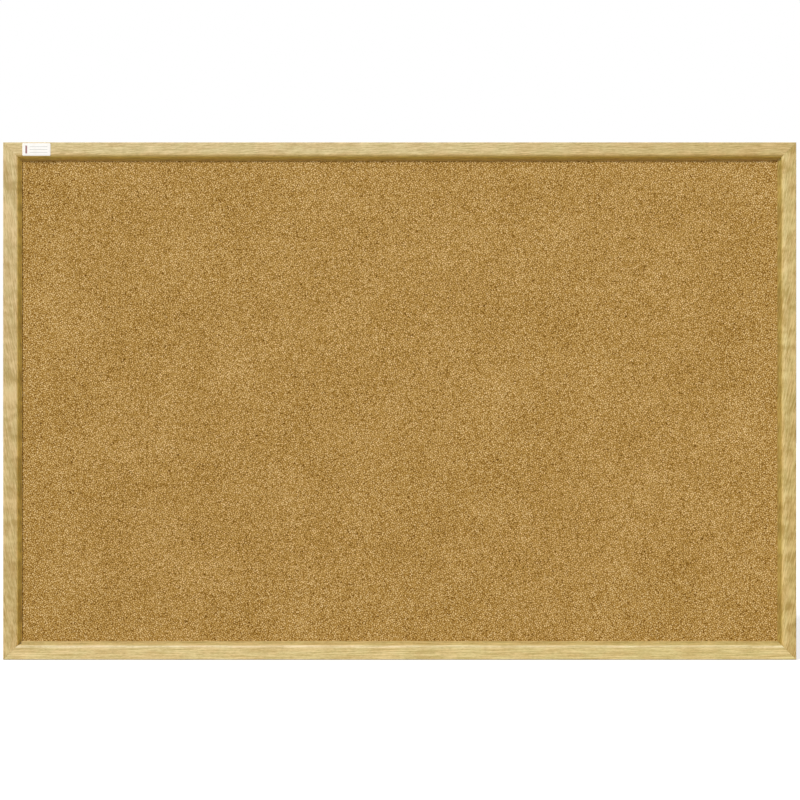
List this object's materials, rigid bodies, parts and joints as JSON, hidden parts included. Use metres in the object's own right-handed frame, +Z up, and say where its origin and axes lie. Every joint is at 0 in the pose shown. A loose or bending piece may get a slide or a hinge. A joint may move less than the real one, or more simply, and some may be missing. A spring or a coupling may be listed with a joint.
{
  "type": "cork board",
  "caption": "Rectangular cork pin board: a laminated cork panel held in a mitred oak-look frame with a rounded inner step, with swinging ring hangers on the back.",
  "frame": {"origin": "centre of the frame's outline, in the plane of the frame's back, where the board meets the wall", "axes": "+X to the right as seen from the front, +Y back into the wall, +Z up; the cork faces -Y"},
  "size_m": [0.9, 0.0232, 0.587],
  "materials": {
    "oak_frame": "satin",
    "cork": "matte",
    "softboard": "matte",
    "backing_paper": "matte",
    "zinc_steel": "satin",
    "bare_steel": "satin",
    "label": "satin"
  },
  "bodies": {
    "board": {"top_rail": "oak_frame", "bottom_rail": "oak_frame", "left_stile": "oak_frame", "right_stile": "oak_frame", "cork_sheet": "cork", "core_board": "softboard", "backing_paper": "backing_paper", "label": "label", "left_hanger_strap": "zinc_steel", "left_hanger_screw": "zinc_steel", "right_hanger_strap": "zinc_steel", "right_hanger_screw": "zinc_steel", "top_left_wedge_1": "bare_steel", "top_left_wedge_2": "bare_steel", "top_right_wedge_1": "bare_steel", "top_right_wedge_2": "bare_steel", "bottom_left_wedge_1": "bare_steel", "bottom_left_wedge_2": "bare_steel", "bottom_right_wedge_1": "bare_steel", "bottom_right_wedge_2": "bare_steel", "top_point_1": "bare_steel", "top_point_2": "bare_steel", "top_point_3": "bare_steel", "top_point_4": "bare_steel", "top_point_5": "bare_steel", "bottom_point_1": "bare_steel", "bottom_point_2": "bare_steel", "bottom_point_3": "bare_steel", "bottom_point_4": "bare_steel", "bottom_point_5": "bare_steel", "left_point_1": "bare_steel", "left_point_2": "bare_steel", "left_point_3": "bare_steel", "right_point_1": "bare_steel", "right_point_2": "bare_steel", "right_point_3": "bare_steel"},
    "left_ring": {"left_hanger_ring": "zinc_steel"},
    "right_ring": {"right_hanger_ring": "zinc_steel"}
  },
  "joints": [
    {"name": "left_ring_swing", "type": "hinge", "parent": "board", "child": "left_ring", "pos_m": [-0.44325, 0.0019, 0.2455], "axis": [1, 0, 0], "range_deg": [0, 175]},
    {"name": "right_ring_swing", "type": "hinge", "parent": "board", "child": "right_ring", "pos_m": [0.44325, 0.0019, 0.2455], "axis": [1, 0, 0], "range_deg": [0, 175]}
  ]
}
